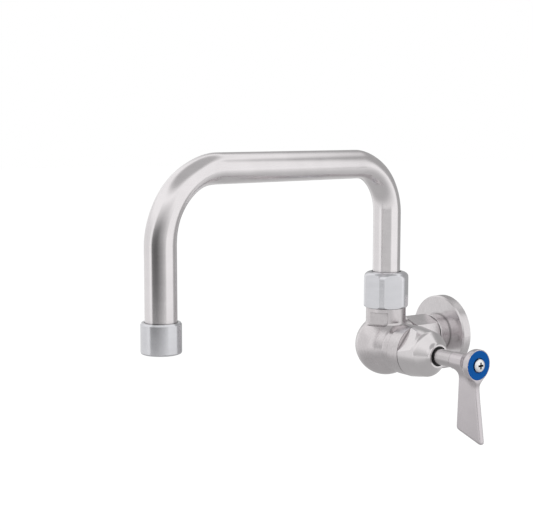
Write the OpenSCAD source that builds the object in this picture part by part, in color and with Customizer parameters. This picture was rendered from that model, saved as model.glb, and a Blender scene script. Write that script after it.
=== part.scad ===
// Wall-mounted single tap: ball body, quarter-turn lever and swivelling over-arm spout.
// Millimetres. Origin: centre of the wall flange's back face. -Y out of the wall, +Z up, lever on +X.

/* [Spout] */
// Outside diameter of the spout tube
tube_d = 19; // [16:0.5:22]
// Wall thickness of the spout tube
tube_wall = 1.5; // [1:0.1:2]
// Distance from the riser's axis to the outlet's axis
reach = 203; // [150:1:250]
// Height of the over-arm's axis above the inlet's axis
arm_z = 122.8; // [110:0.5:180]
// Bend radius over the body, to the tube's axis
bend_riser_r = 34.5; // [30:0.5:45]
// Bend radius over the outlet, to the tube's axis
bend_outlet_r = 44; // [30:0.5:50]
// Angle of the spout from straight out of the wall, towards the lever
spout_turn = 10; // [-80:1:80]
// Height of the outlet's lower face above the inlet's axis
outlet_z = 17.2; // [10:0.2:40]

/* [Aerator] */
// Outside diameter of the aerator shell
aerator_d = 24; // [22:0.5:28]
// Height of the aerator shell
aerator_h = 18.3; // [16:0.1:22]

/* [Body] */
// Distance from the wall to the body's centre
body_out = 56.4; // [52:0.2:65]
// Drop of the body's centre below the inlet's axis
body_drop = 3.8; // [0:0.2:5]
// Diameter of the ball
ball_d = 42.2; // [41:0.2:48]
// Diameter of the neck
neck_d = 27.7; // [27:0.1:27.9]
// Spanner flats on the neck, across flats
neck_flats = 22.4; // [22:0.1:26]

/* [Inlet] */
// Diameter of the wall flange
flange_d = 53; // [50:0.5:65]
// Thickness of the wall flange
flange_t = 7; // [5:0.5:8]
// Across flats of the union nut
union_af = 24.6; // [24.4:0.2:27]
// Diameter of the flange's round collar
collar_d = 26.8; // [25:0.2:30]
// Depth of the inlet's threaded socket from the wall face
inlet_depth = 14; // [12:0.5:16]

/* [Bonnet and lever] */
// Largest diameter of the bonnet
bonnet_d = 34.6; // [33.6:0.2:36]
// Across the bonnet's two spanner flats
bonnet_af = 28.8; // [28.6:0.2:31]
// Diameter of the spindle
spindle_d = 10.6; // [9.8:0.1:11]
// Diameter of the lever's head
head_d = 20.4; // [20:0.2:24]
// Thickness of the lever's blade
blade_t = 4; // [3:0.2:5]

/* [Gland nut] */
// Across flats of the gland nut
gland_af = 29; // [28:0.2:30]
// Turned diameter over the gland nut's corners
gland_d = 31.6; // [31:0.2:32.4]

/* [Hidden] */
$fn = 96;

steel = [0.74, 0.72, 0.72];
bright = [0.82, 0.82, 0.86];
brass = [0.78, 0.64, 0.36];
black = [0.08, 0.08, 0.08];
white = [0.92, 0.92, 0.9];
blue = [0.02, 0.2, 0.62];

eps = 0.01;         // overlap where solids are joined or cut through
run = 0.06;         // radial clearance of a running fit
slip = 0.05;        // gap between faces that slide on each other
tube_r = tube_d / 2;
tube_ri = tube_r - tube_wall;
ball_r = ball_d / 2;
neck_r = neck_d / 2;
socket_thread_r = 9.32; // minor radius of the G1/2 inlet thread
union_r = 11;       // plain radius of the union's thread
union_face = -23.9;   // end of the flanged inlet, against the union's washer
union_step = -24.9;   // end of the tailpiece
tail_lip = -27.9;  // collar that the nut pulls on
nut_front = -36.9;
collar_end = -15.5;  // front of the flange's collar, under the nut
tail_r = 9;
tail_end = -41.3;
leg_r = 11.8;       // inlet leg of the body
bore_r = 6.5;       // waterway through the tailpiece and the leg
spindle_r = spindle_d / 2;

// Levels up the neck, from the body's centre
neck_top = 26.5;    // shoulder under the gland nut
spigot_r = 12;      // plain radius of the gland thread
spigot_top = 40.5;
socket_r = 9.76;    // bore that the spout collar turns in
socket_floor = 14;
washer_t = 1;
flange_lo = spigot_top + washer_t + slip;
flange_hi = flange_lo + 2.95;
lip_z = flange_hi + washer_t + 2 * slip;
gland_top = 51.7;
tube_foot = flange_hi;

// Stations along the spindle's axis, from the body's centre
seat_x = 9;         // floor of the cartridge chamber
step_x = 23;        // ledge under the cartridge's flange
joint_x = 32;       // face between body and bonnet
shoulder_r = 15.4;  // small end of the bonnet's draft
shoulder_x = 44.5;
cone_r = 14.34;     // cone from the shoulder to the nose
cone_x = 46.79;
nose_r = 7.9;
nose_x = 54.2;
nose_hole_r = 6.75;
mill_r = 14;        // cutter that makes the bonnet's flats
mill_offset = 2.5;
boss_r = 15.2;      // boss between the ball and its rim
rim_r = 17.2;       // rim that the bonnet screws down on
rim_x = 20.5;       // back of the rim
chamber_r = 11.5;
thread_r = 13.2;    // bonnet thread in the body
oring_seat_r = 14.3;
cavity_r = 9.8;     // inside the bonnet
disc_x = 12;        // back of the fixed disc
disc_t = 3.2;
drive_x = disc_x + 2 * disc_t + 2 * slip;
cup_x = 21.7;       // end of the cup that holds the discs
cartridge_end = 42.5;
clip_x = 43;
spline_x = 69.4;    // back end of the lever's neck
spline_end = 84.5;
head_x = 91.3;      // front face of the lever
index_t = 1.1;

// Frames
module body_frame() translate([0, -body_out, -body_drop]) children();
module revolve_x() rotate([0, 90, 0]) rotate_extrude() children();
module revolve_y() rotate([-90, 0, 0]) rotate_extrude() children();
module spout_frame() translate([0, -body_out, 0]) rotate(spout_turn - 90) children();
module outlet_frame() spout_frame() translate([reach, 0, 0]) children();

// Profile of a plain ring, radius across and height up
module ring(r0, r1, z0, z1) translate([r0, z0]) square([r1 - r0, z1 - z0]);
// Profile of a ring with both outer corners cut by c
module chamfered(r0, r1, z0, z1, c)
    polygon([[r0, z0], [r1 - c, z0], [r1, z0 + c], [r1, z1 - c], [r1 - c, z1], [r0, z1]]);
// Profile of a round cord of radius r on a ring of radius R
module cord(R, r, z) translate([R, z]) circle(r);
// Hexagon by its width across flats
module hexagon(af) circle(r = af / 2 / cos(30), $fn = 6);
// Sector of a disc between two radii
module sector(r0, r1, a) intersection() {
    difference() { circle(r1); circle(r0); }
    polygon([[0, 0], 2 * r1 * [cos(a / 2), -sin(a / 2)], 2 * r1 * [cos(a / 2), sin(a / 2)]]);
}
// Profile of the hollow blend between a ball of radius R and a coaxial cylinder of radius r
module blend(R, r, f) {
    zc = sqrt(pow(R + f, 2) - pow(r + f, 2));
    tx = (r + f) * R / (R + f);
    tz = zc * R / (R + f);
    difference() {
        polygon([[r - 2, tz - 2], [tx, tz], [r + f, zc], [r - 2, zc]]);
        translate([r + f, zc]) circle(f);
    }
}
// Straight-sided spline of n teeth between two radii
module spline(r0, r1, n) union() {
    circle(r0);
    for (i = [0 : n - 1]) rotate(i * 360 / n)
        polygon([[r0 - 0.5, -1.0], [r1, -0.32], [r1, 0.32], [r0 - 0.5, 1.0]]);
}

// ---- Inlet ----

module wall_flange() color(steel) {
    revolve_y() difference() {
        union() {
            polygon([[7, -flange_t], [flange_d / 2 - 0.9, -flange_t], [flange_d / 2, -flange_t + 0.9],
                [flange_d / 2, 0], [7, 0]]);
            // round collar that the nut stands against
            polygon([[7, collar_end], [collar_d / 2 - 0.4, collar_end], [collar_d / 2, collar_end + 0.4],
                [collar_d / 2, -flange_t + 1], [7, -flange_t + 1]]);
            ring(7, union_r - 0.1, union_face, collar_end);
        }
        ring(-1, socket_thread_r, -inlet_depth, 1);
        ring(-1, 8.6, -inlet_depth - 1.5, 0);
        // recess for the gasket
        ring(17.6, flange_d / 2 - 2.2, -3, 1);
    }
}

module flange_gasket() color(black) revolve_y() ring(17.8, flange_d / 2 - 2.4, -2.95, 0);

module inlet_strainer() color(white) rotate([-90, 0, 0]) difference() {
    // flange in the counterbore, thimble in the waterway
    floor_y = -inlet_depth - 1.45;
    tip_y = union_face + 0.2;
    rotate_extrude() polygon([[4.6, floor_y + 1.4], [4.6, tip_y + 0.8], [0, tip_y + 0.8], [0, tip_y],
        [5.4, tip_y], [6.1, floor_y], [8.5, floor_y], [8.5, floor_y + 1.4]]);
    for (i = [0 : 7]) rotate(i * 45) translate([4, -0.6, tip_y + 1.3]) cube([3, 1.2, 5]);
    for (i = [0 : 5]) rotate(i * 60) translate([2.6, 0, tip_y - 0.2]) cylinder(r = 0.7, h = 2);
}

module union_nut() color(steel) {
    back = collar_end - 0.1;
    lip = tail_lip - 0.05;
    difference() {
        intersection() {
            rotate([-90, 0, 0]) translate([0, 0, nut_front]) rotate(20)
                linear_extrude(back - nut_front) hexagon(union_af);
            revolve_y() polygon([[0, nut_front], [union_af / 2 - 0.3, nut_front],
                [union_af / 2 + 2, nut_front + 0.9], [union_af / 2 + 2, back - 1.3],
                [union_af / 2 - 0.3, back], [0, back]]);
        }
        rotate([-90, 0, 0]) {
            translate([0, 0, nut_front - 1]) cylinder(r = tail_r + 0.2, h = 30);
            translate([0, 0, lip]) cylinder(r = union_r + 0.05, h = 30);
        }
    }
}

module union_washer() color(black) revolve_y() ring(7.2, 10.7, union_step + 0.02, union_face - 0.02);

module union_tail() color(brass) revolve_y() union() {
    ring(bore_r, tail_r, tail_end, union_step);
    ring(bore_r, union_r - 0.15, tail_lip, union_step);
}

// ---- Cast body ----

module body_outside() {
    sphere(ball_r);
    cylinder(r = neck_r, h = neck_top);
    cylinder(r = spigot_r, h = spigot_top);
    rotate_extrude() blend(ball_r, neck_r, 2.5);
    // boss for the bonnet, with a rounded shoulder
    revolve_x() union() {
        ring(0, boss_r, 6, joint_x - 1);
        ring(0, rim_r - 1.6, rim_x, joint_x - 1);
        cord(rim_r - 1.6, 1.6, rim_x + 1.6);
        ring(0, rim_r, rim_x + 1.6, joint_x - 0.3);
        ring(0, rim_r - 0.3, joint_x - 1, joint_x);
        blend(ball_r, boss_r, 4);
    }
    // inlet leg
    translate([0, 0, body_drop]) rotate([-90, 0, 0])
        translate([0, 0, 8]) cylinder(r = leg_r, h = body_out + nut_front + 1 - 8);
}

module body_waterways() {
    // faced end of the inlet leg, and its bore with the tailpiece's socket
    translate([0, 0, body_drop]) rotate([-90, 0, 0]) {
        translate([0, 0, body_out + nut_front - 0.1]) cylinder(r = leg_r + 1, h = 20);
        translate([0, 0, -6]) cylinder(r = bore_r, h = 60);
        translate([0, 0, body_out + tail_end - 0.1]) cylinder(r = tail_r + 0.05, h = 30);
    }
    // seat port and cartridge chamber
    rotate([0, 90, 0]) {
        cylinder(r = 5, h = seat_x + 1);
        translate([0, 0, seat_x]) cylinder(r = chamber_r, h = 20);
        translate([0, 0, step_x]) cylinder(r = thread_r, h = 20);
        translate([0, 0, joint_x - 1.3]) cylinder(r = oring_seat_r, h = 10);
    }
    // outlet passage up to the spout's socket
    translate([15, 0, 7]) rotate([0, -47.7, 0]) cylinder(r = 3.5, h = 14);
    translate([0, 0, socket_floor]) cylinder(r = socket_r, h = 40);
    translate([0, 0, spigot_top - 0.8]) cylinder(r1 = socket_r, r2 = socket_r + 0.8, h = 0.8 + eps);
}

module valve_body() color(steel) body_frame() difference() {
    flat_end = 5.3; // deep end of each spanner flat, from its middle
    corner = 2.5;   // its round lower corner
    body_outside();
    body_waterways();
    // two spanner flats milled into the neck from one side, each with a round end
    for (s = [0, 180]) rotate(s - 57.2) translate([neck_flats / 2, 0, 0]) rotate([90, 0, 90])
        linear_extrude(12) union() {
            translate([-12, 14.5]) square([12 + flat_end - corner, neck_top - 2.4 - 14.5]);
            translate([0, 17]) square([flat_end, neck_top - 2.4 - 17]);
            translate([flat_end - corner, 17]) circle(corner);
        }
}

// ---- Bonnet ----

module bonnet_profile() union() {
    // drafted body and its rounded shoulder
    polygon([[0, joint_x], [bonnet_d / 2 - 0.3, joint_x], [bonnet_d / 2, joint_x + 0.3],
        [bonnet_d / 2 - 0.95, joint_x + 7], [shoulder_r, shoulder_x], [0, shoulder_x]]);
    cord(shoulder_r - 3, 3, shoulder_x);
    // cone that sweeps up into the nose
    difference() {
        polygon([[0, shoulder_x - 1], [shoulder_r - 3, shoulder_x - 1], [cone_r, cone_x], [9.32, 51.04],
            [nose_r, nose_x - 0.11], [nose_r, nose_x], [0, nose_x]]);
        translate([nose_r + 4, nose_x - 0.11]) circle(4);
    }
    // threaded skirt inside the body
    ring(0, thread_r - 0.1, step_x + 2.55, joint_x + 1);
}

module bonnet() color(steel) body_frame() difference() {
    revolve_x() difference() {
        bonnet_profile();
        ring(-1, cavity_r, step_x, 46);
        ring(-1, nose_hole_r, step_x, nose_x + 1);
    }
    // two spanner flats, each left by an end mill
    for (a = [51, 231]) rotate([a, 0, 0]) translate([29.5, -mill_offset, bonnet_af / 2])
        cylinder(r = mill_r, h = 6);
}

module bonnet_oring() color(black) body_frame() revolve_x()
    cord(oring_seat_r - 0.58, 0.56, joint_x - 0.65);

module stem_bush() color(black) body_frame() revolve_x() union() {
    ring(spindle_r + run, 9.2, 44.7, 45.95);
    ring(spindle_r + run, nose_hole_r - 0.05, 45.5, nose_x - 0.6);
}

// ---- Quarter-turn ceramic cartridge ----

module cartridge_body() color(brass) body_frame() difference() {
    revolve_x() difference() {
        union() {
            ring(0, 9.4, seat_x + 2.5, step_x + 1);
            ring(0, 12.9, step_x + 0.02, step_x + 2.5);
            ring(0, 9.3, step_x + 1, cartridge_end);
        }
        ring(-1, 8.3, 0, cup_x);
        ring(-1, spindle_r + run, 0, 60);
    }
    // two windows that let the water out beside the moving disc
    translate([17.2, -15, -4]) cube([4.2, 30, 8]);
}

module seat_seal() color(black) body_frame() revolve_x() ring(5.6, 8.2, seat_x + 0.02, disc_x - 0.02);

module ports() for (s = [0, 180]) rotate(s) sector(2.2, 6.6, 75);

module fixed_disc() color(white) body_frame() rotate([0, 90, 0]) translate([0, 0, disc_x])
    linear_extrude(disc_t) difference() { circle(8.2); ports(); }

module moving_disc() color(white) body_frame() rotate([0, 90, 0]) difference() {
    translate([0, 0, disc_x + disc_t + slip]) linear_extrude(disc_t) difference() {
        circle(8);
        rotate(90) ports();
    }
    // slot for the spindle's lug
    translate([-10, -1.5, drive_x - 1.25]) cube([20, 3, 3]);
}

module spindle() color(bright) body_frame() rotate([0, 90, 0]) difference() {
    union() {
        intersection() {
            translate([0, 0, drive_x]) cylinder(r = 7.9, h = cup_x - 0.1 - drive_x);
            translate([-10, -5.5, 0]) cube([20, 11, 40]);
        }
        translate([-7, -1.4, drive_x - 1.1]) cube([14, 2.8, 2]);
        rotate_extrude() difference() {
            union() {
                ring(0, spindle_r, drive_x + 1, spline_x - 0.5);
                polygon([[0, spline_x - 1], [spindle_r, spline_x - 0.5], [spindle_r - 0.4, spline_x - 0.1],
                    [0, spline_x - 0.1]]);
            }
            ring(spindle_r - 1.2, 9, 28, 30);
            ring(spindle_r - 1.2, 9, 34, 36);
            ring(spindle_r - 0.9, 9, clip_x, clip_x + 1.1);
        }
        translate([0, 0, spline_x - 0.2]) linear_extrude(spline_end - spline_x + 0.2) spline(3.5, 4.1, 18);
    }
    translate([0, 0, 72]) cylinder(r = 2.08, h = 20);
}

module spindle_oring(x) color(black) body_frame() revolve_x() cord(spindle_r - 0.58, 0.58, x);
module spindle_oring_inner() spindle_oring(29);
module spindle_oring_outer() spindle_oring(35);

module spindle_clip() color(bright) body_frame() rotate([0, 90, 0]) translate([0, 0, clip_x + 0.1])
    linear_extrude(0.9) difference() {
        circle(7.6);
        circle(spindle_r - 0.85);
        translate([0, -2.7]) square([12, 5.4]);
    }

// ---- Lever ----

module blade() {
    edge = 1;
    // inner and outer edges of the blade, [x, z] down its length
    inner = [[76.2, -4], [75.8, -13], [75.4, -24], [74.7, -35], [75, -44]];
    outer = [[89.9, -4], [89.6, -14], [90.4, -24], [92.5, -35], [94.9, -50.1]];
    for (i = [0 : len(inner) - 2]) hull() for (p = [inner[i], outer[i], inner[i + 1], outer[i + 1]],
        y = [-1, 1]) translate([p[0], y * (blade_t / 2 - edge), p[1]]) sphere(edge, $fn = 24);
    // web under the neck
    translate([0, blade_t / 2, 0]) rotate([90, 0, 0]) linear_extrude(blade_t)
        polygon([[69.8, -4.6], [75.1, -8.9], [75.1, -12], [80, -12], [80, -2], [69.8, -2]]);
}

module lever_handle() color(steel) body_frame() difference() {
    union() {
        revolve_x() polygon([[0, spline_x], [5.5, spline_x], [5.8, spline_x + 0.3], [5.8, 79.5], [6.2, 81.3],
            [7.9, 84.2], [head_d / 2 - 0.4, 87], [head_d / 2, 87.8], [head_d / 2, head_x - 0.4],
            [head_d / 2 - 0.4, head_x], [0, head_x]]);
        blade();
    }
    rotate([0, 90, 0]) {
        translate([0, 0, spline_x - 1]) linear_extrude(spline_end + 1.2 - spline_x) spline(3.6, 4.2, 18);
        cylinder(r = 2.1, h = 100);
        translate([0, 0, head_x - index_t - 0.1]) cylinder(r = 9.65, h = 5);
    }
}

module index_ring() color(blue) body_frame() revolve_x()
    polygon([[4.7, head_x - index_t - 0.05], [9.6, head_x - index_t - 0.05], [9.6, head_x - 0.2],
        [9.4, head_x], [4.9, head_x], [4.7, head_x - 0.2]]);

module handle_screw() color(bright) body_frame() rotate([0, 90, 0]) difference() {
    seat = head_x - index_t - 0.08;
    rotate_extrude() polygon([[0, 74], [2, 74], [2, seat], [4.3, seat], [4.3, seat + 1.9], [4, seat + 2.4],
        [3.2, seat + 2.8], [1.8, seat + 3.05], [0, seat + 3.1]]);
    // cross recess
    for (a = [0, 90]) rotate(a) translate([-2.2, -0.65, seat + 0.9]) cube([4.4, 1.3, 3]);
}

// ---- Swivel gland ----

module gland_nut() color(bright) body_frame() difference() {
    intersection() {
        rotate(8.7) linear_extrude(60) hexagon(gland_af);
        rotate_extrude() union() {
            ring(0, gland_d / 2, neck_top + 0.3 + 1.6, gland_top - 5);
            ring(0, gland_d / 2 - 5, neck_top + 2, gland_top);
            cord(gland_d / 2 - 5, 5, gland_top - 5);
            ring(0, gland_d / 2 - 1.6, neck_top + 0.3, neck_top + 3);
            cord(gland_d / 2 - 1.6, 1.6, neck_top + 0.3 + 1.6);
        }
    }
    cylinder(r = spigot_r + 0.05, h = spigot_top + 1.3);
    cylinder(r = 11.9, h = lip_z);
    cylinder(r = tube_r + 0.7, h = 60);
}

module swivel_washer() color(white) body_frame() rotate_extrude()
    ring(9.9, 11.7, spigot_top + 0.02, spigot_top + washer_t);

module swivel_bush() color(white) body_frame() rotate_extrude()
    ring(tube_r + 0.15, 11.6, flange_hi + slip, lip_z - 0.02);

module spout_collar() color(bright) body_frame() rotate_extrude() difference() {
    union() {
        ring(6.3, socket_r - run, socket_floor + 0.6, flange_lo + 1);
        ring(6.3, 11.4, flange_lo, flange_hi);
        ring(6.3, tube_ri - 0.05, flange_hi - 1, flange_hi + 5.5);
    }
    for (z = [19, 27]) ring(8.3, 12, z, z + 2.4);
}

module spout_oring(z) color(black) body_frame() rotate_extrude() cord(9.02, 0.68, z);
module spout_oring_lower() spout_oring(20.2);
module spout_oring_upper() spout_oring(28.2);

// ---- Spout ----

module tube_section() difference() { circle(tube_r); circle(tube_ri); }
module straight(len) linear_extrude(len) tube_section();
module bend(r) rotate([90, 0, 0]) rotate_extrude(angle = 90) translate([r, 0]) tube_section();

module spout_tube() color(steel) spout_frame() {
    foot = tube_foot - body_drop;
    translate([0, 0, foot]) straight(arm_z - bend_riser_r - foot);
    translate([bend_riser_r, 0, arm_z - bend_riser_r]) mirror([1, 0, 0]) bend(bend_riser_r);
    translate([bend_riser_r, 0, arm_z]) rotate([0, 90, 0]) straight(reach - bend_riser_r - bend_outlet_r);
    translate([reach - bend_outlet_r, 0, arm_z - bend_outlet_r]) bend(bend_outlet_r);
    translate([reach, 0, outlet_z + 9]) straight(arm_z - bend_outlet_r - outlet_z - 9);
}

// ---- Outlet ----

module outlet_adaptor() color(brass) outlet_frame() rotate_extrude()
    polygon([[tube_ri, outlet_z + 6.4], [10.9, outlet_z + 6.4], [10.9, outlet_z + 16.8],
        [tube_r + 0.03, outlet_z + 16.8], [tube_r + 0.03, outlet_z + 9], [tube_ri, outlet_z + 9]]);

module aerator_shell() color(bright) outlet_frame() rotate_extrude() difference() {
    polygon([[0, outlet_z], [aerator_d / 2 - 1, outlet_z], [aerator_d / 2 - 0.3, outlet_z + 0.3],
        [aerator_d / 2, outlet_z + 1], [aerator_d / 2, outlet_z + aerator_h - 1.1],
        [aerator_d / 2 - 0.7, outlet_z + aerator_h], [0, outlet_z + aerator_h]]);
    ring(-1, 9, outlet_z - 1, outlet_z + 5);
    ring(-1, 10.4, outlet_z + 1, outlet_z + 7);
    ring(-1, 10.95, outlet_z + 6.2, outlet_z + aerator_h - 1);
    ring(-1, tube_r + 0.25, outlet_z + 6, outlet_z + aerator_h + 1);
}

module aerator_gasket() color(black) outlet_frame() rotate_extrude()
    ring(7.6, 10.3, outlet_z + 4.95, outlet_z + 6.38);

module aerator_cartridge() color(white) outlet_frame() translate([0, 0, outlet_z + 1.6])
    linear_extrude(3.3) union() {
        difference() { circle(10.3); circle(8.7); }
        difference() { circle(5); circle(4.2); }
        for (i = [0 : 5]) rotate(i * 60 + 30) translate([4.6, -0.4]) square([4.6, 0.8]);
        for (i = [0 : 2]) rotate(i * 60) translate([-4.6, -0.4]) square([9.2, 0.8]);
    }

module aerator_screen() color(bright) outlet_frame() translate([0, 0, outlet_z + 1.05])
    linear_extrude(0.5) difference() {
        circle(10.2);
        for (k = [0 : 4], i = [0 : max(0, 6 * k - 1)]) rotate(i * 360 / max(1, 6 * k))
            translate([k * 1.85, 0]) circle(0.62);
    }

wall_flange();
flange_gasket();
union_nut();
inlet_strainer();
union_washer();
union_tail();
valve_body();
bonnet();
bonnet_oring();
stem_bush();
cartridge_body();
seat_seal();
fixed_disc();
moving_disc();
spindle();
spindle_oring_inner();
spindle_oring_outer();
spindle_clip();
lever_handle();
index_ring();
handle_screw();
gland_nut();
swivel_washer();
swivel_bush();
spout_collar();
spout_oring_lower();
spout_oring_upper();
spout_tube();
outlet_adaptor();
aerator_shell();
aerator_gasket();
aerator_cartridge();
aerator_screen();
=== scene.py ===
# %% [markdown]
# # A wall-mounted tap with a swivel spout
# This lesson dresses the construction model of a commercial kitchen tap. The solids arrive at their real size and
# place, in metres: the origin is the centre of the wall flange's back face, -Y points out of the wall, +Z is up and
# the lever is on +X. Blender adds the finishes, the inlet's thread, the woven screen, the spout's bends and the cast
# lever.

# %% Load the frame
import math

import bpy
from mathutils import Matrix, Vector


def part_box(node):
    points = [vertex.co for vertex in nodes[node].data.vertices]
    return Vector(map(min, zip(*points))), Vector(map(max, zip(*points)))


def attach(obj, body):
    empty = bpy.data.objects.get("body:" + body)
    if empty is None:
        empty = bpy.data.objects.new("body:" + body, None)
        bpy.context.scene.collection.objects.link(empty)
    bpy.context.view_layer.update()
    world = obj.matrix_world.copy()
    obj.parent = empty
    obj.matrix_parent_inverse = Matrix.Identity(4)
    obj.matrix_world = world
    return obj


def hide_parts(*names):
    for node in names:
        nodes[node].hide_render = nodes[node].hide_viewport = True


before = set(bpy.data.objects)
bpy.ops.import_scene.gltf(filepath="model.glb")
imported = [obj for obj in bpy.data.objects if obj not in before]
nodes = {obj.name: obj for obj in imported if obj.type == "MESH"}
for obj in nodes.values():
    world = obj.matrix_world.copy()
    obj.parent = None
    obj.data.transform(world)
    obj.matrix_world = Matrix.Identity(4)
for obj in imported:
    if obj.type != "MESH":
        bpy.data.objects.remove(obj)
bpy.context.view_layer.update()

# %% [markdown]
# ## The camera
# A product like this is shown from a little above, with a long lens so that the spout isn't stretched. The lens is
# worked out from the focal length in pixels of a 533-pixel-wide frame on a 36 mm sensor. Only two turns are needed:
# a yaw round Z and a small pitch down.

# %% Camera
MM = 0.001
FRAME_PX = 533
FOCAL_PX = 1166.76
SENSOR_MM = 36
CAMERA_AT = Vector((615.84, -584.55, 145.4)) * MM
YAW, PITCH = math.radians(55.29), math.radians(6.62)

camera_data = bpy.data.cameras.new("camera")
camera_data.sensor_fit = "HORIZONTAL"
camera_data.sensor_width = SENSOR_MM
camera_data.lens = SENSOR_MM * FOCAL_PX / FRAME_PX
camera_data.clip_start = 0.01
camera = bpy.data.objects.new("camera", camera_data)
camera.location = CAMERA_AT
camera.rotation_euler = (math.pi / 2 - PITCH, 0, YAW)
bpy.context.scene.collection.objects.link(camera)
bpy.context.scene.camera = camera
bpy.context.scene.view_settings.view_transform = "Standard"
print("lens", round(camera_data.lens, 2), "mm")

# %% [markdown]
# ## Small helpers for node trees
# Every finish below is a node tree. Three short functions keep them readable: one adds a node with its settings and
# its inputs, and links an input where it is given another node's output. The others make a colour ramp and a math node.

# %% Node helpers
def add(tree, kind, settings=None, **inputs):
    """A node with its settings and inputs. An input is named by its label, or by its place as i0, i1 and so on."""
    node = tree.nodes.new(kind)
    for key, value in (settings or {}).items():
        setattr(node, key, value)
    for key, value in inputs.items():
        socket = node.inputs[int(key[1:]) if key[0] == "i" and key[1:].isdigit() else key.replace("_", " ")]
        if isinstance(value, bpy.types.NodeSocket):
            tree.links.new(value, socket)
        else:
            socket.default_value = value
    return node


def ramp(tree, factor, stops, mode="LINEAR"):
    """A colour ramp with grey stops [(place, level), ...]."""
    node = add(tree, "ShaderNodeValToRGB", i0=factor)
    node.color_ramp.interpolation = mode
    elements = node.color_ramp.elements
    while len(elements) < len(stops):
        elements.new(0.5)
    for element, (place, level) in zip(elements, stops):
        element.position = place
        element.color = (level, level, level, 1) if not isinstance(level, tuple) else (*level, 1)
    return node.outputs[0]


def math_node(tree, op, a, b=0.0):
    """The output of a math node on two values."""
    return add(tree, "ShaderNodeMath", {"operation": op}, i0=a, i1=b).outputs[0]


# %% [markdown]
# ## The studio
# Satin metal has almost no colour of its own: what it shows is the room. The world is a plain white sweep for the
# camera and for everything that metal reflects. The soft light that falls on the pieces is a little weaker from below
# than from above, as in a real studio.

# %% World
world = bpy.data.worlds.new("studio")
bpy.context.scene.world = world
world.use_nodes = True
sky = world.node_tree
sky.nodes.clear()
direction = add(sky, "ShaderNodeTexCoord").outputs["Generated"]
xyz = add(sky, "ShaderNodeSeparateXYZ", i0=direction)
height = math_node(sky, "MULTIPLY_ADD", xyz.outputs[2], 0.5)
height.node.inputs[2].default_value = 0.5
by_height = ramp(sky, height, [(0.0, 0.45), (0.44, 0.6), (0.5, 0.8), (0.7, 0.95), (1.0, 0.9)])


def background_rays(tree):
    """1 where the camera, a reflection or a view through glass sees the surface, and 0 where it only gives light."""
    path = add(tree, "ShaderNodeLightPath").outputs
    return math_node(tree, "MAXIMUM", path["Is Camera Ray"],
                     math_node(tree, "MAXIMUM", path["Is Glossy Ray"], path["Is Transmission Ray"]))


white = add(sky, "ShaderNodeBackground", Strength=1.0, Color=(1, 1, 1, 1))
room = add(sky, "ShaderNodeBackground", Strength=by_height)
pick = add(sky, "ShaderNodeMixShader", i0=background_rays(sky), i1=room.outputs[0], i2=white.outputs[0])
add(sky, "ShaderNodeOutputWorld", i0=pick.outputs[0])
print("world set")

# %% [markdown]
# ## The floor
# The tap hangs on a wall, so the floor is a little way below it. It is a plain pale floor. Where the camera or a
# reflection sees it, its material is lifted to the white of the sweep, and it still takes the soft shadow.

# %% Floor
FLOOR_Z, FLOOR_HALF = -0.30, 12


def new_material(name):
    material = bpy.data.materials.new(name)
    material.use_nodes = True
    material.node_tree.nodes.clear()
    return material, material.node_tree


def stage_sheet(name, points, faces, material):
    """A piece of studio furniture, which isn't part of the tap."""
    mesh = bpy.data.meshes.new(name)
    mesh.from_pydata(points, [], faces)
    mesh.materials.append(material)
    piece = bpy.data.objects.new(name, mesh)
    bpy.context.scene.collection.objects.link(piece)
    return piece


floor_paint, tree = new_material("floor_paint")
plain = add(tree, "ShaderNodeBsdfDiffuse", Color=(0.86, 0.86, 0.86, 1))
shaded = add(tree, "ShaderNodeBsdfDiffuse", Color=(0.3, 0.3, 0.3, 1))
lift = add(tree, "ShaderNodeEmission", Strength=0.8)
lifted = add(tree, "ShaderNodeAddShader", i0=shaded.outputs[0], i1=lift.outputs[0])
pick = add(tree, "ShaderNodeMixShader", i0=background_rays(tree), i1=plain.outputs[0], i2=lifted.outputs[0])
add(tree, "ShaderNodeOutputMaterial", i0=pick.outputs[0])
floor_corners = [(x * FLOOR_HALF, y * FLOOR_HALF, FLOOR_Z) for x, y in ((-1, -1), (1, -1), (1, 1), (-1, 1))]
stage_sheet("floor", floor_corners, [(0, 1, 2, 3)], floor_paint)
print("floor at", FLOOR_Z)

# %% [markdown]
# ## Reflection cards
# Metal looks like metal when it also has something darker to show, so a photographer stands grey and black cards round
# it, just out of the picture. The ones here are bent sheets that stand round a point, and two flat ones above and
# below. Only reflections see them, so they cast no shadow. Each fades out towards its edges: how solid it is at each
# point is kept in an attribute, which its material reads.

# %% Cards
ACROSS, UPWARD, OUTWARD = 48, 12, 16
TAP_MIDDLE_Y = -0.12


def card_paint(name, level, near=None):
    """A card of an even grey that is as solid as its cover attribute says. near is how far away it can still be seen:
    a card that stands close to one part of the tap is then left out of what the other parts show."""
    paint, tree = new_material(name + "_paint")
    cover = add(tree, "ShaderNodeAttribute", {"attribute_name": "cover"}).outputs["Fac"]
    if near:
        length = add(tree, "ShaderNodeLightPath").outputs["Ray Length"]
        fade = add(tree, "ShaderNodeMapRange", i0=length, i1=near, i2=near * 1.3, i3=1.0, i4=0.0).outputs[0]
        cover = math_node(tree, "MULTIPLY", cover, fade)
    clear = add(tree, "ShaderNodeBsdfTransparent")
    grey = add(tree, "ShaderNodeEmission", Color=(level, level, level, 1), Strength=1.0)
    mixed = add(tree, "ShaderNodeMixShader", i0=cover, i1=clear.outputs[0], i2=grey.outputs[0])
    add(tree, "ShaderNodeOutputMaterial", i0=mixed.outputs[0])
    return paint


def between(stops, at):
    """The value at a place between stops [(place, value), ...]."""
    for (a, low), (b, high) in zip(stops, stops[1:]):
        if a <= at <= b:
            return low + (high - low) * (at - a) / (b - a)
    return stops[0][1] if at < stops[0][0] else stops[-1][1]


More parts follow.
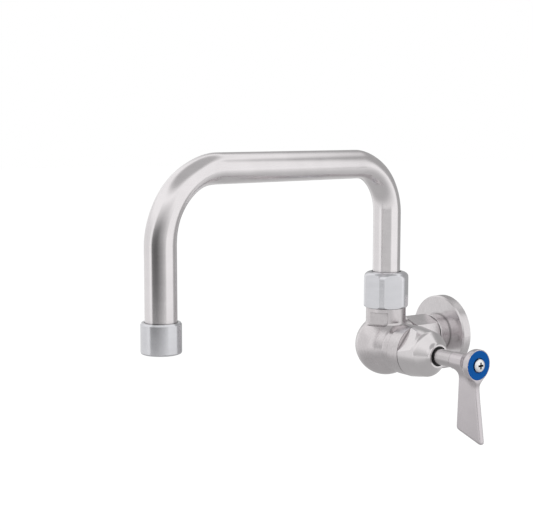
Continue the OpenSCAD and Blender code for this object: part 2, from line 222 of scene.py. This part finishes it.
def card_from(name, rows, covers, level, near=None):
    """Builds a card from rows of points, with a cover for each point."""
    wide = len(rows[0])
    faces = [(j * wide + i, j * wide + i + 1, (j + 1) * wide + i + 1, (j + 1) * wide + i)
             for j in range(len(rows) - 1) for i in range(wide - 1)]
    piece = stage_sheet(name, [p for row in rows for p in row], faces, card_paint(name, level, near))
    cover = piece.data.attributes.new("cover", "FLOAT", "POINT")
    cover.data.foreach_set("value", [c for row in covers for c in row])
    for ray in ("camera", "diffuse", "transmission", "volume_scatter", "shadow"):
        setattr(piece, "visible_" + ray, False)
    return piece


def bent_card(name, about, distance, sides, heights, level, near=None):
    """A card bent round a point. sides gives its cover by compass direction in degrees, 0 on +X and -90 on -Y;
    heights gives it by height in metres."""
    turns = [sides[0][0] + (sides[-1][0] - sides[0][0]) * i / ACROSS for i in range(ACROSS + 1)]
    levels = [heights[0][0] + (heights[-1][0] - heights[0][0]) * j / UPWARD for j in range(UPWARD + 1)]
    rows = [[(about[0] + distance * math.cos(math.radians(t)), about[1] + distance * math.sin(math.radians(t)), z)
             for t in turns] for z in levels]
    covers = [[between(sides, t) * between(heights, z) for t in turns] for z in levels]
    return card_from(name, rows, covers, level, near)


def flat_card(name, z, rings, level):
    """A round level card over the tap's middle. rings gives its cover by distance from the middle."""
    radii = [rings[-1][0] * j / OUTWARD for j in range(OUTWARD + 1)]
    turns = [math.tau * i / ACROSS for i in range(ACROSS + 1)]
    rows = [[(r * math.cos(turn), TAP_MIDDLE_Y + r * math.sin(turn), z) for turn in turns] for r in radii]
    return card_from(name, rows, [[between(rings, r)] * len(turns) for r in radii], level)


OUTLET_POINT, RISER_POINT = (0.035, -0.256), (0.0, -0.0564)
flat_card("low_card", -0.285, [(0, 1), (0.4, 1), (1.1, 0.45), (2.4, 0)], 0.5)
flat_card("high_card", 1.3, [(0, 1), (0.6, 1), (1.0, 0)], 0.5)
bent_card("front_card", RISER_POINT, 1.0, [(-90, 0), (-86, 1), (-6, 1), (-1, 0)],
          [(-0.15, 0), (-0.1, 1), (0.25, 0.4), (0.5, 0)], 0.52)
bent_card("back_card", RISER_POINT, 1.1, [(58, 0), (66, 1), (148, 1), (176, 0)],
          [(-0.28, 1), (0.9, 1), (1.3, 0)], 0.42)
bent_card("side_card", RISER_POINT, 1.2, [(-178, 0), (-172, 1), (-112, 1), (-102, 0)],
          [(-0.28, 1), (0.4, 1), (0.6, 0)], 0.84)
bent_card("leg_card", OUTLET_POINT, 0.14,
          [(-93, 0), (-89, 0.7), (-70, 0.82), (-52, 0.82), (-33, 0.57), (-19, 0.38), (-5, 0.12), (2, 0)],
          [(-0.04, 0), (0.01, 0.6), (0.04, 1), (0.12, 1), (0.25, 0)], 0.03, near=0.2)

# %% [markdown]
# ## Lamps
# Two soft lamps light the tap from above, the stronger one from the lever's side. Reflections don't see them.

# %% Lamps
LAMP_AIM = (0, TAP_MIDDLE_Y, 0.03)


def lamp(name, at, aim, size, power):
    """A rectangular lamp turned towards a point."""
    data = bpy.data.lights.new(name, "AREA")
    data.shape = "RECTANGLE"
    data.size, data.size_y = size
    data.energy = power
    piece = bpy.data.objects.new(name, data)
    piece.location = at
    piece.rotation_euler = (Vector(aim) - Vector(at)).to_track_quat("-Z", "Y").to_euler()
    piece.visible_glossy = False
    bpy.context.scene.collection.objects.link(piece)
    return piece


lamp("key", (0.9, -0.2, 1.1), LAMP_AIM, (0.9, 0.9), 5)
lamp("fill", (-0.5, -1.5, 0.7), LAMP_AIM, (0.9, 0.6), 3)

# %% [markdown]
# ## Satin steel
# Stainless castings and tube are ground, then brushed with a fine belt. Close up there are short fine scratches that
# run one way, and the roughness changes softly from place to place. A stretched noise gives the scratches, as bump
# and as a small change of tone and roughness, and a larger soft noise gives the uneven sheen. Creases, recesses and
# the joints between parts get painted shade: ambient occlusion over a few millimetres finds them and darkens the
# colour.

# %% Metal finish
# How far the ambient occlusion looks for the painted shade in creases
CREASE_SHADE_REACH = 3.0 * MM


def metal(name, colour, roughness, scratch=(40, 40, 900), scratch_bump=0.02, sheen_spread=0.05, blotch=70,
          turned_about=None, ridge=1800.0, streak=0.04, crease_shade=0.5):
    """Metal with fine scratches. scratch stretches the noise per axis, in cycles per metre; turned_about is
    (axis, centre) for lathe marks that run round that axis. streak is how much darker a scratch is, and crease_shade
    is the level of painted shade that the colour falls to in a deep crease."""
    material, tree = new_material(name)
    place = add(tree, "ShaderNodeTexCoord").outputs["Object"]
    if turned_about:
        axis, centre = turned_about
        moved = add(tree, "ShaderNodeMapping", i0=place, i1=tuple(-v for v in centre)).outputs[0]
        part = add(tree, "ShaderNodeSeparateXYZ", i0=moved)
        along = part.outputs["XYZ".index(axis)]
        across = [part.outputs[i] for i in range(3) if "XYZ"[i] != axis]
        squares = [math_node(tree, "MULTIPLY", v, v) for v in across]
        radius = math_node(tree, "SQRT", math_node(tree, "ADD", *squares))
        grooves = add(tree, "ShaderNodeCombineXYZ", i0=math_node(tree, "MULTIPLY", along, ridge),
                      i1=math_node(tree, "MULTIPLY", radius, ridge), i2=0.0).outputs[0]
    else:
        grooves = add(tree, "ShaderNodeMapping", i0=place, i3=scratch).outputs[0]
    fine = add(tree, "ShaderNodeTexNoise", i0=grooves, Scale=1.0, Detail=3.0, Roughness=0.6).outputs[0]
    broad = add(tree, "ShaderNodeTexNoise", i0=place, Scale=float(blotch), Detail=4.0, Roughness=0.55).outputs[0]
    spread = math_node(tree, "MULTIPLY_ADD", broad, sheen_spread)
    spread.node.inputs[2].default_value = roughness - sheen_spread / 2
    grain = math_node(tree, "MULTIPLY_ADD", fine, sheen_spread)
    tree.links.new(spread, grain.node.inputs[2])
    uneven = math_node(tree, "SUBTRACT", grain, sheen_spread / 2)
    tone = ramp(tree, broad, [(0.3, tuple(c * 0.94 for c in colour)), (0.7, colour)])
    streaked = ramp(tree, fine, [(0.35, 1 - 2 * streak), (0.65, 1.0)])
    # Painted shade: ambient occlusion darkens the colour in creases, recesses and joints between parts
    open_sky = add(tree, "ShaderNodeAmbientOcclusion", {"samples": 8}, Distance=CREASE_SHADE_REACH).outputs["AO"]
    painted_crease_shade = ramp(tree, open_sky, [(0.25, crease_shade), (0.8, 1.0)])
    # The scratches' own darker tone, times the painted shade in creases
    scratch_tone_and_shade = math_node(tree, "MULTIPLY", streaked, painted_crease_shade)
    toned = add(tree, "ShaderNodeMix", {"data_type": "RGBA", "blend_type": "MULTIPLY"}, i0=1.0, i6=tone, i7=scratch_tone_and_shade)
    bump = add(tree, "ShaderNodeBump", Strength=0.35, Distance=scratch_bump * MM, Height=fine).outputs[0]
    bsdf = add(tree, "ShaderNodeBsdfPrincipled", Base_Color=toned.outputs[2], Metallic=1.0, Roughness=uneven,
               Normal=bump)
    add(tree, "ShaderNodeOutputMaterial", i0=bsdf.outputs[0])
    return material


BODY_AT = Vector((0, -56.4, -3.8)) * MM
BRUSHED, POLISHED = (1900, 1900, 240), (60, 60, 400)
satin = metal("satin_steel", (0.84, 0.81, 0.82), 0.18, streak=0.01)
cast = metal("satin_casting", (0.73, 0.695, 0.705), 0.24, scratch=BRUSHED, blotch=90, streak=0.06, sheen_spread=0.1,
             crease_shade=0.3)
lever_steel = metal("satin_lever", (0.68, 0.64, 0.66), 0.24, scratch=BRUSHED, blotch=90, streak=0.015, crease_shade=0.3)
bonnet_steel = metal("turned_bonnet", (0.79, 0.76, 0.77), 0.2, turned_about=("X", BODY_AT), streak=0.02, crease_shade=0.2)
flange_steel = metal("brushed_flange", (0.76, 0.73, 0.74), 0.22, scratch=BRUSHED, streak=0.05, crease_shade=0.3)
bright = metal("bright_plate", (0.76, 0.76, 0.79), 0.2, scratch=POLISHED, scratch_bump=0.006, sheen_spread=0.03,
               streak=0.02)
# The painted crease shade has no floor here, so the screw's cross recess is painted black
screw_steel = metal("polished_screw", (0.95, 0.95, 0.95), 0.3, scratch=POLISHED, scratch_bump=0.006, streak=0.02,
                    crease_shade=0.0)
stem_steel = metal("turned_stem", (0.68, 0.65, 0.66), 0.26, turned_about=("X", BODY_AT), ridge=2500.0)
brass = metal("machined_brass", (0.64, 0.45, 0.17), 0.28)
print("metals made")

# %% [markdown]
# ## Plastic, rubber and ceramic
# The other pieces are small. Each still has a little unevenness in colour and roughness, and a fine moulded or lapped
# bump, because a flat colour never looks like a real part.

# %% Non-metals
def moulded(name, colour, roughness, grain_size=2500.0, grain_depth=0.01, variation=0.08, coat=0.0, specular=0.5):
    """A finish that isn't metal. variation is how much darker its soft patches are."""
    material, tree = new_material(name)
    place = add(tree, "ShaderNodeTexCoord").outputs["Object"]
    grain = add(tree, "ShaderNodeTexNoise", i0=place, Scale=grain_size, Detail=2.0).outputs[0]
    soft = add(tree, "ShaderNodeTexNoise", i0=place, Scale=150.0, Detail=3.0).outputs[0]
    tone = ramp(tree, soft, [(0.3, tuple(c * (1 - variation) for c in colour)), (0.7, colour)])
    rough = math_node(tree, "MULTIPLY_ADD", soft, 0.1)
    rough.node.inputs[2].default_value = roughness - 0.05
    bump = add(tree, "ShaderNodeBump", Strength=0.3, Distance=grain_depth * MM, Height=grain).outputs[0]
    bsdf = add(tree, "ShaderNodeBsdfPrincipled", Base_Color=tone, Roughness=rough, Normal=bump)
    bsdf.inputs["Coat Weight"].default_value = coat
    bsdf.inputs["Specular IOR Level"].default_value = specular
    add(tree, "ShaderNodeOutputMaterial", i0=bsdf.outputs[0])
    return material


rubber = moulded("black_rubber", (0.012, 0.012, 0.013), 0.55)
nylon = moulded("white_nylon", (0.78, 0.78, 0.75), 0.45)
acetal = moulded("grey_acetal", (0.05, 0.05, 0.055), 0.4)
ceramic = moulded("lapped_ceramic", (0.82, 0.82, 0.8), 0.15, coat=0.5)
blue = moulded("blue_index", (0.0, 0.095, 0.38), 0.5, variation=0.05, specular=0.1)
print("plastics made")

# %% Dress the solids
finishes = {
    satin: ["spout_tube"],
    cast: ["valve_body"],
    lever_steel: ["lever_handle"],
    bonnet_steel: ["bonnet"],
    flange_steel: ["wall_flange", "union_nut"],
    stem_steel: ["spindle"],
    bright: ["gland_nut", "spindle_clip", "aerator_shell", "aerator_screen", "spout_collar"],
    screw_steel: ["handle_screw"],
    brass: ["cartridge_body", "outlet_adaptor", "union_tail"],
    rubber: ["flange_gasket", "union_washer", "bonnet_oring", "stem_bush", "seat_seal", "spindle_oring_inner",
             "spindle_oring_outer", "spout_oring_lower", "spout_oring_upper", "aerator_gasket"],
    nylon: ["inlet_strainer", "aerator_cartridge"],
    acetal: ["swivel_washer", "swivel_bush"],
    ceramic: ["fixed_disc", "moving_disc"],
    blue: ["index_ring"],
}
for finish, names in finishes.items():
    for name in names:
        nodes[name].data.materials.clear()
        nodes[name].data.materials.append(finish)
print("dressed", sum(len(names) for names in finishes.values()), "nodes")

# %% [markdown]
# ## Geometry Nodes helpers
# A node tree is built like a material's. The result of its modifier is turned into a plain mesh straight away, so
# that the finished piece is an ordinary mesh in its place, with its object at the origin.

# %% Node group helpers
def node_group(name, sizes):
    """A geometry tree with a Geometry input and one named float input for each size."""
    tree = bpy.data.node_groups.new(name, "GeometryNodeTree")
    tree.interface.new_socket("Geometry", in_out="INPUT", socket_type="NodeSocketGeometry")
    tree.interface.new_socket("Geometry", in_out="OUTPUT", socket_type="NodeSocketGeometry")
    keys = {}
    for label in sizes:
        keys[label] = tree.interface.new_socket(label, in_out="INPUT", socket_type="NodeSocketFloat").identifier
    start = tree.nodes.new("NodeGroupInput")
    return tree, start, keys


def close_group(tree, geometry, material):
    """Ends a tree in Realize Instances and Set Material."""
    real = add(tree, "GeometryNodeRealizeInstances", Geometry=geometry)
    painted = add(tree, "GeometryNodeSetMaterial", Geometry=real.outputs[0], Material=material)
    end = tree.nodes.new("NodeGroupOutput")
    tree.links.new(painted.outputs[0], end.inputs[0])


def vector_node(tree, op, a, b=(0.0, 0.0, 0.0)):
    """The output of a vector math node: a number for a dot product or a length, and else a vector."""
    node = add(tree, "ShaderNodeVectorMath", {"operation": op}, i0=a, i1=b)
    return node.outputs["Value"] if op in ("DOT_PRODUCT", "LENGTH") else node.outputs[0]


def scaled(tree, vector, factor):
    """A vector times a number or a socket."""
    node = add(tree, "ShaderNodeVectorMath", {"operation": "SCALE"}, i0=vector)
    if isinstance(factor, bpy.types.NodeSocket):
        tree.links.new(factor, node.inputs["Scale"])
    else:
        node.inputs["Scale"].default_value = factor
    return node.outputs[0]


def grown(name, base_mesh, tree, keys, values, more=()):
    """Runs a node tree on a mesh with its inputs set, and returns the result as a plain mesh object."""
    seedling = bpy.data.objects.new(name, base_mesh)
    bpy.context.scene.collection.objects.link(seedling)
    modifier = seedling.modifiers.new("nodes", "NODES")
    modifier.node_group = tree
    for label, value in values.items():
        modifier[keys[label]] = value
    for kind, settings in more:
        extra = seedling.modifiers.new(kind.lower(), kind)
        for key, value in settings.items():
            setattr(extra, key, value)
    bpy.context.view_layer.update()
    evaluated = seedling.evaluated_get(bpy.context.evaluated_depsgraph_get())
    mesh = bpy.data.meshes.new_from_object(evaluated)
    piece = bpy.data.objects.new(name, mesh)
    bpy.data.objects.remove(seedling)
    bpy.context.scene.collection.objects.link(piece)
    return piece


def shade_smooth(piece, sharp=35):
    """Smooth shading with edges kept sharp past an angle."""
    piece.data.polygons.foreach_set("use_smooth", [True] * len(piece.data.polygons))
    piece.data.set_sharp_from_angle(angle=math.radians(sharp))


# %% [markdown]
# ## The spout
# The spout is one length of tube bent twice on a mandrel. Real bent tube isn't quite round in its bends: it is
# squeezed in the plane of the bend and spreads a little sideways. The tree sweeps a circle along the centre line,
# then moves each point by how far the line there is bent. The centre line carries that as an attribute, with its own
# place, so that the tree knows which point of the line each point of the wall belongs to. Solidify gives the wall.

# %% Centre line of the spout
TUBE_R, TUBE_WALL = 9.5 * MM, 1.5 * MM
REACH, ARM_Z = 203 * MM, 122.8 * MM
RISER_BEND, OUTLET_BEND = 34.5 * MM, 44 * MM
BODY_Z, COLLAR_LOW, COLLAR_THICK = -3.8, 41.55, 2.95
FOOT_Z, OUTLET_Z = (COLLAR_LOW + COLLAR_THICK + BODY_Z) * MM, 26.2 * MM
RISER_SQUEEZE, OUTLET_SQUEEZE, SPREAD = 0.08, 0.11, 0.35
EASE_IN = 3.2
SPOUT_TURN = math.radians(10 - 90)
SPOUT_AT = Vector((0, -56.4, 0)) * MM


def centre_line(step=1.5 * MM):
    """Points in the spout's own plane as (along, up, squeeze), bends and straights in order."""
    points = []

    def straight(a, b):
        count = max(1, round(math.dist(a, b) / step))
        points.extend((a[0] + (b[0] - a[0]) * i / count, a[1] + (b[1] - a[1]) * i / count, 0.0) for i in range(count))

    def bend(centre, radius, begin, finish, squeeze):
        count = round(radius * math.pi / 2 / step)
        for i in range(count):
            t = i / count
            turn = begin + (finish - begin) * t
            eased = min(1.0, EASE_IN * t, EASE_IN * (1 - t))
            eased = eased * eased * (3 - 2 * eased)
            points.append((centre[0] + radius * math.cos(turn), centre[1] + radius * math.sin(turn), squeeze * eased))

    straight((0, FOOT_Z), (0, ARM_Z - RISER_BEND))
    bend((RISER_BEND, ARM_Z - RISER_BEND), RISER_BEND, math.pi, math.pi / 2, RISER_SQUEEZE)
    straight((RISER_BEND, ARM_Z), (REACH - OUTLET_BEND, ARM_Z))
    bend((REACH - OUTLET_BEND, ARM_Z - OUTLET_BEND), OUTLET_BEND, math.pi / 2, 0, OUTLET_SQUEEZE)
    straight((REACH, ARM_Z - OUTLET_BEND), (REACH, OUTLET_Z))
    points.append((REACH, OUTLET_Z, 0.0))
    return points


line = centre_line()
spout_turn = Matrix.Translation(SPOUT_AT) @ Matrix.Rotation(SPOUT_TURN, 4, "Z")
spout_side = (spout_turn.to_3x3() @ Vector((0, 1, 0))).normalized()
line_mesh = bpy.data.meshes.new("spout_line")
line_mesh.from_pydata([spout_turn @ Vector((p[0], 0, p[1])) for p in line],
                      [(i, i + 1) for i in range(len(line) - 1)], [])
squeeze = line_mesh.attributes.new("squeeze", "FLOAT", "POINT")
squeeze.data.foreach_set("value", [p[2] for p in line])
line_length = sum(math.dist(a[:2], b[:2]) for a, b in zip(line, line[1:]))
print("centre line:", len(line), "points,", round(line_length * 1000), "mm")

# %% Bent tube
tree, start, tube_keys = node_group("bent_tube", ["Radius", "Spread"])
path = add(tree, "GeometryNodeMeshToCurve", Mesh=start.outputs["Geometry"])
centre = add(tree, "GeometryNodeInputPosition").outputs[0]
kept_centre = add(tree, "GeometryNodeCaptureAttribute", {"domain": "POINT"}, Geometry=path.outputs[0])
kept_centre.capture_items.new("VECTOR", "centre")
tree.links.new(centre, kept_centre.inputs["centre"])
circle = add(tree, "GeometryNodeCurvePrimitiveCircle", Resolution=48)
tree.links.new(start.outputs["Radius"], circle.inputs["Radius"])
swept = add(tree, "GeometryNodeCurveToMesh", Curve=kept_centre.outputs["Geometry"], i1=circle.outputs[0])
here = add(tree, "GeometryNodeInputPosition").outputs[0]
offset = vector_node(tree, "SUBTRACT", here, kept_centre.outputs["centre"])
sideways = vector_node(tree, "DOT_PRODUCT", offset, tuple(spout_side))
side_part = scaled(tree, tuple(spout_side), sideways)
plane_part = vector_node(tree, "SUBTRACT", offset, side_part)
squeeze_here = add(tree, "GeometryNodeInputNamedAttribute", {"data_type": "FLOAT"}, Name="squeeze").outputs[0]
inward = scaled(tree, plane_part, math_node(tree, "MULTIPLY", squeeze_here, -1.0))
outward = scaled(tree, side_part, math_node(tree, "MULTIPLY", squeeze_here, start.outputs["Spread"]))
moved = add(tree, "GeometryNodeSetPosition", Geometry=swept.outputs[0],
            Offset=vector_node(tree, "ADD", inward, outward))
close_group(tree, moved.outputs[0], satin)

spout = grown("spout_bent_tube", line_mesh, tree, tube_keys, {"Radius": TUBE_R, "Spread": SPREAD},
              more=[("SOLIDIFY", {"thickness": TUBE_WALL, "offset": -1.0})])
shade_smooth(spout, 60)
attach(spout, "spout")
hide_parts("spout_tube")
low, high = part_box("spout_tube")
print("spout:", len(spout.data.polygons), "faces; the plain tube's box in mm",
      [[round(v * 1000, 1) for v in corner] for corner in (low, high)])

# %% [markdown]
# ## The screen in the outlet
# The outlet's end is closed by a disc of woven wire. In a plain weave each wire goes over one crossing wire and under
# the next. The rule is a product of two cosines, so that both sets of wires can take their height from their place:
# one set takes it as it is, and the other takes its opposite. The tree puts a wire on each point of a line, cuts it to
# the disc's chord, gives it that height, and sweeps a thin circle along it.

# %% Woven screen
SCREEN_R, WIRE_GAP, WIRE_R, RIM_R = 10.1 * MM, 0.95 * MM, 0.16 * MM, 0.3 * MM
SCREEN_Z, SCREEN_TURN = 18.5 * MM, math.radians(25)
outlet = spout_turn @ Vector((REACH, 0, 0))
SCREEN_AT = Vector((outlet.x, outlet.y, SCREEN_Z))

tree, start, screen_keys = node_group("woven_screen", ["Disc radius", "Wire gap", "Wire radius"])
count = math_node(tree, "FLOOR", math_node(tree, "DIVIDE", start.outputs["Disc radius"], start.outputs["Wire gap"]))
both = math_node(tree, "MULTIPLY_ADD", count, 2.0)
both.node.inputs[2].default_value = 1.0
first = math_node(tree, "MULTIPLY", math_node(tree, "MULTIPLY", count, start.outputs["Wire gap"]), -1.0)
row = add(tree, "GeometryNodeMeshLine", {"mode": "OFFSET"}, Count=both,
          Start_Location=add(tree, "ShaderNodeCombineXYZ", i1=first).outputs[0],
          Offset=add(tree, "ShaderNodeCombineXYZ", i1=start.outputs["Wire gap"]).outputs[0])
at_y = add(tree, "ShaderNodeSeparateXYZ", i0=add(tree, "GeometryNodeInputPosition").outputs[0]).outputs[1]
disc_squared = math_node(tree, "MULTIPLY", start.outputs["Disc radius"], start.outputs["Disc radius"])
chord_squared = math_node(tree, "SUBTRACT", disc_squared, math_node(tree, "MULTIPLY", at_y, at_y))
half = math_node(tree, "SQRT", math_node(tree, "MAXIMUM", chord_squared, 1e-8))
one = add(tree, "GeometryNodeCurvePrimitiveLine", i0=(-1, 0, 0), i1=(1, 0, 0))
placed = add(tree, "GeometryNodeInstanceOnPoints", i0=row.outputs[0], Instance=one.outputs[0],
             Scale=add(tree, "ShaderNodeCombineXYZ", i0=half, i1=1.0, i2=1.0).outputs[0])
real = add(tree, "GeometryNodeRealizeInstances", i0=placed.outputs[0])
fine = add(tree, "GeometryNodeResampleCurve", {"mode": "LENGTH"}, Curve=real.outputs[0],
           Length=math_node(tree, "DIVIDE", start.outputs["Wire gap"], 4.0))


def woven(geometry, sign):
    """Moves a set of wires up and down by the weave's rule."""
    part = add(tree, "ShaderNodeSeparateXYZ", i0=add(tree, "GeometryNodeInputPosition").outputs[0])
    turn = math_node(tree, "DIVIDE", math.pi, start.outputs["Wire gap"])
    waves = [math_node(tree, "COSINE", math_node(tree, "MULTIPLY", part.outputs[i], turn)) for i in (0, 1)]
    rise = math_node(tree, "MULTIPLY", math_node(tree, "MULTIPLY", *waves),
                     math_node(tree, "MULTIPLY", start.outputs["Wire radius"], sign))
    return add(tree, "GeometryNodeSetPosition", Geometry=geometry,
               Offset=add(tree, "ShaderNodeCombineXYZ", i2=rise).outputs[0]).outputs[0]


quarter = add(tree, "GeometryNodeTransform", Geometry=fine.outputs[0], Rotation=(0, 0, math.pi / 2)).outputs[0]
wires = add(tree, "GeometryNodeJoinGeometry")
tree.links.new(woven(fine.outputs[0], 1.0), wires.inputs[0])
tree.links.new(woven(quarter, -1.0), wires.inputs[0])
ring_profile = add(tree, "GeometryNodeCurvePrimitiveCircle", Resolution=6)
tree.links.new(start.outputs["Wire radius"], ring_profile.inputs["Radius"])
swept = add(tree, "GeometryNodeCurveToMesh", Curve=wires.outputs[0], i1=ring_profile.outputs[0], Fill_Caps=True)
rim_line = add(tree, "GeometryNodeCurvePrimitiveCircle", Resolution=64)
tree.links.new(start.outputs["Disc radius"], rim_line.inputs["Radius"])
rim_profile = add(tree, "GeometryNodeCurvePrimitiveCircle", Resolution=8, Radius=RIM_R)
rim = add(tree, "GeometryNodeCurveToMesh", Curve=rim_line.outputs[0], i1=rim_profile.outputs[0])
disc = add(tree, "GeometryNodeJoinGeometry")
tree.links.new(swept.outputs[0], disc.inputs[0])
tree.links.new(rim.outputs[0], disc.inputs[0])
close_group(tree, disc.outputs[0], bright)

screen = grown("outlet_screen", bpy.data.meshes.new("screen_seed"), tree, screen_keys,
               {"Disc radius": SCREEN_R - RIM_R, "Wire gap": WIRE_GAP, "Wire radius": WIRE_R})
screen.data.transform(Matrix.Translation(SCREEN_AT) @ Matrix.Rotation(SCREEN_TURN, 4, "Z"))
shade_smooth(screen, 60)
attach(screen, "spout")
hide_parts("aerator_screen")
print("screen:", len(screen.data.polygons), "faces")

# %% [markdown]
# ## The thread in the inlet
# A pipe screws into the back of the flange. A thread is one ridge that climbs as it turns, so the tree draws a helix
# and sweeps a small triangle along it. The ridge sits on the plain bore of the solid and ends short of its floor.

# %% Inlet thread
THREAD_PITCH, THREAD_R, THREAD_LEN = 1.814 * MM, 9.32 * MM, 12.5 * MM
THREAD_INSET, RIDGE = 0.6 * MM, 0.45 * MM

tree, start, thread_keys = node_group("inlet_thread", ["Radius", "Pitch", "Length", "Ridge"])
turns = math_node(tree, "DIVIDE", start.outputs["Length"], start.outputs["Pitch"])
helix = add(tree, "GeometryNodeCurveSpiral", Resolution=48)
for socket, value in {"Rotations": turns, "Start Radius": start.outputs["Radius"],
                      "End Radius": start.outputs["Radius"], "Height": start.outputs["Length"]}.items():
    tree.links.new(value, helix.inputs[socket])
ridge = add(tree, "GeometryNodeCurvePrimitiveCircle", Resolution=4)
tree.links.new(start.outputs["Ridge"], ridge.inputs["Radius"])
swept = add(tree, "GeometryNodeCurveToMesh", Curve=helix.outputs[0], i1=ridge.outputs[0], Fill_Caps=True)
close_group(tree, swept.outputs[0], flange_steel)

thread = grown("inlet_thread", bpy.data.meshes.new("thread_seed"), tree, thread_keys,
               {"Radius": THREAD_R, "Pitch": THREAD_PITCH, "Length": THREAD_LEN, "Ridge": RIDGE})
thread.data.transform(Matrix.Rotation(math.radians(90), 4, "X") @ Matrix.Translation((0, 0, THREAD_INSET)))
shade_smooth(thread, 30)
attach(thread, "tap_body")
thread_y = [round(v.co.y * 1000, 2) for v in thread.data.vertices]
print("thread:", len(thread.data.polygons), "faces, from y =", max(thread_y), "to", min(thread_y))

# %% [markdown]
# ## The lever
# The lever is a small casting: a flared neck and a flat blade that melt into each other. A shape like that is easy to
# say as a distance: at each point of space, how far is the nearest surface, with minus inside. Two shapes join by
# taking the smaller distance, one is cut from another by taking the larger of it and the other's opposite, and a
# smooth minimum leaves a fillet. The tree works in millimetres from the body's centre, fills a box with that number,
# and draws the surface where it is zero.

# %% Distance fields
class Field:
    """A number at each point. Arithmetic on it adds math nodes to its tree."""

    def __init__(self, tree, socket):
        self.tree, self.socket = tree, socket

    def made(self, op, *others):
        values = [v.socket if isinstance(v, Field) else v for v in (self, *others)]
        return Field(self.tree, add(self.tree, "ShaderNodeMath", {"operation": op},
                                    **{f"i{i}": v for i, v in enumerate(values)}).outputs[0])

    def __add__(self, other):
        return self.made("ADD", other)

    def __sub__(self, other):
        return self.made("SUBTRACT", other)

    def __rsub__(self, other):
        return self.made("MULTIPLY", -1.0) + other

    def __mul__(self, other):
        return self.made("MULTIPLY", other)

    def either(self, other, fillet=0.0):
        """Both shapes, with a fillet where they meet."""
        return self.made("SMOOTH_MIN", other, fillet) if fillet else self.made("MINIMUM", other)

    def within(self, other, edge=0.0):
        """What the shapes share, with its edge rounded."""
        return self.made("SMOOTH_MAX", other, edge) if edge else self.made("MAXIMUM", other)


# %% Lever
# Places along X and sizes, in mm from the body's centre
NECK_START, HEAD_FACE = 69.4, 91.3
FLARE_START, FLARE_END = 79.2, 88.4
BLADE_TOP, EDGE_SOFT = 4.0, 2.0
# The blade's edges lean by so many mm for each mm down, and the outer one never comes nearer than OUTER_LEAST
BLADE_EDGE, OUTER_LEAN, OUTER_LEAST = 88.15, 0.155, 90.7
INNER_EDGE, INNER_LEAN = 75.3, 0.038
# The tip is a slanted plane: its normal's parts down and outwards, and its distance
TIP_DOWN, TIP_OUT, TIP_AT = 0.956, 0.293, 21.1
# Roundings of the head's face, the neck's end, the outer edge's bend, the tip's corners and the cut front
FACE_SOFT, END_SOFT, BEND_SOFT, TIP_SOFT, FRONT_SOFT = 0.8, 0.6, 1.5, 3.0, 0.6
FRONT_SPARE = 0.25
RING_SEAT, RING_FLOOR, SPLINE_R, SPLINE_END, SCREW_R = 9.5, 90.1, 4.25, 85.7, 2.1
FIELD_LOW, FIELD_HIGH, VOXEL = (68.0, -12.0, -53.0), (98.0, 12.0, 12.0), 0.25

tree, start, lever_keys = node_group("cast_lever", ["Neck radius", "Head radius", "Blade thickness", "Fillet"])
neck_r, head_r, blade_t, fillet = (Field(tree, start.outputs[name]) for name in lever_keys)
place = add(tree, "ShaderNodeSeparateXYZ", i0=add(tree, "GeometryNodeInputPosition").outputs[0])
x, y, z = (Field(tree, socket) for socket in place.outputs)
down = 0 - z
rho = (y * y + z * z).made("SQRT")

flare = add(tree, "ShaderNodeMapRange", {"interpolation_type": "SMOOTHSTEP"}, i0=x.socket, i1=FLARE_START,
            i2=FLARE_END, i3=neck_r.socket, i4=head_r.socket)
turned = (rho - Field(tree, flare.outputs[0])).within(x - HEAD_FACE, FACE_SOFT).within(NECK_START - x, END_SOFT)

outer_edge = (down * OUTER_LEAN + BLADE_EDGE).made("SMOOTH_MAX", OUTER_LEAST, BEND_SOFT)
inner_edge = INNER_EDGE - down * INNER_LEAN
tip = down * TIP_DOWN - x * TIP_OUT - TIP_AT
outline = (x - outer_edge).within(inner_edge - x).within(tip, TIP_SOFT).within(BLADE_TOP - down)
blade = outline.within(y.made("ABSOLUTE") - blade_t * 0.5, EDGE_SOFT)

front = x - (down * OUTER_LEAN + BLADE_EDGE + FRONT_SPARE).made("MAXIMUM", HEAD_FACE)
casting = turned.either(blade, fillet).within(front, FRONT_SOFT)
ring_seat = (rho - RING_SEAT).within(RING_FLOOR - x)
bore = (rho - SPLINE_R).within(x - SPLINE_END).either(rho - SCREW_R)
lever_field = casting.within(0 - ring_seat).within(0 - bore)

steps = [round((high - low) / VOXEL) for low, high in zip(FIELD_LOW, FIELD_HIGH)]
filled = add(tree, "GeometryNodeVolumeCube", Density=(0.5 - lever_field).socket, Min=FIELD_LOW, Max=FIELD_HIGH,
             Resolution_X=steps[0], Resolution_Y=steps[1], Resolution_Z=steps[2])
skin = add(tree, "GeometryNodeVolumeToMesh", Volume=filled.outputs[0], Threshold=0.5)
in_metres = add(tree, "GeometryNodeTransform", Geometry=skin.outputs[0], Scale=(MM, MM, MM),
                Translation=tuple(BODY_AT))
close_group(tree, in_metres.outputs[0], lever_steel)

lever = grown("lever_casting", bpy.data.meshes.new("lever_seed"), tree, lever_keys,
              {"Neck radius": 5.8, "Head radius": 10.2, "Blade thickness": 4.0, "Fillet": 7.0})
shade_smooth(lever, 60)
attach(lever, "lever")
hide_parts("lever_handle")
lever_points = [[round(v.co[i] / MM, 1) for v in lever.data.vertices] for i in range(3)]
print("lever:", len(lever.data.polygons), "faces, extent in mm", [(min(row), max(row)) for row in lever_points])
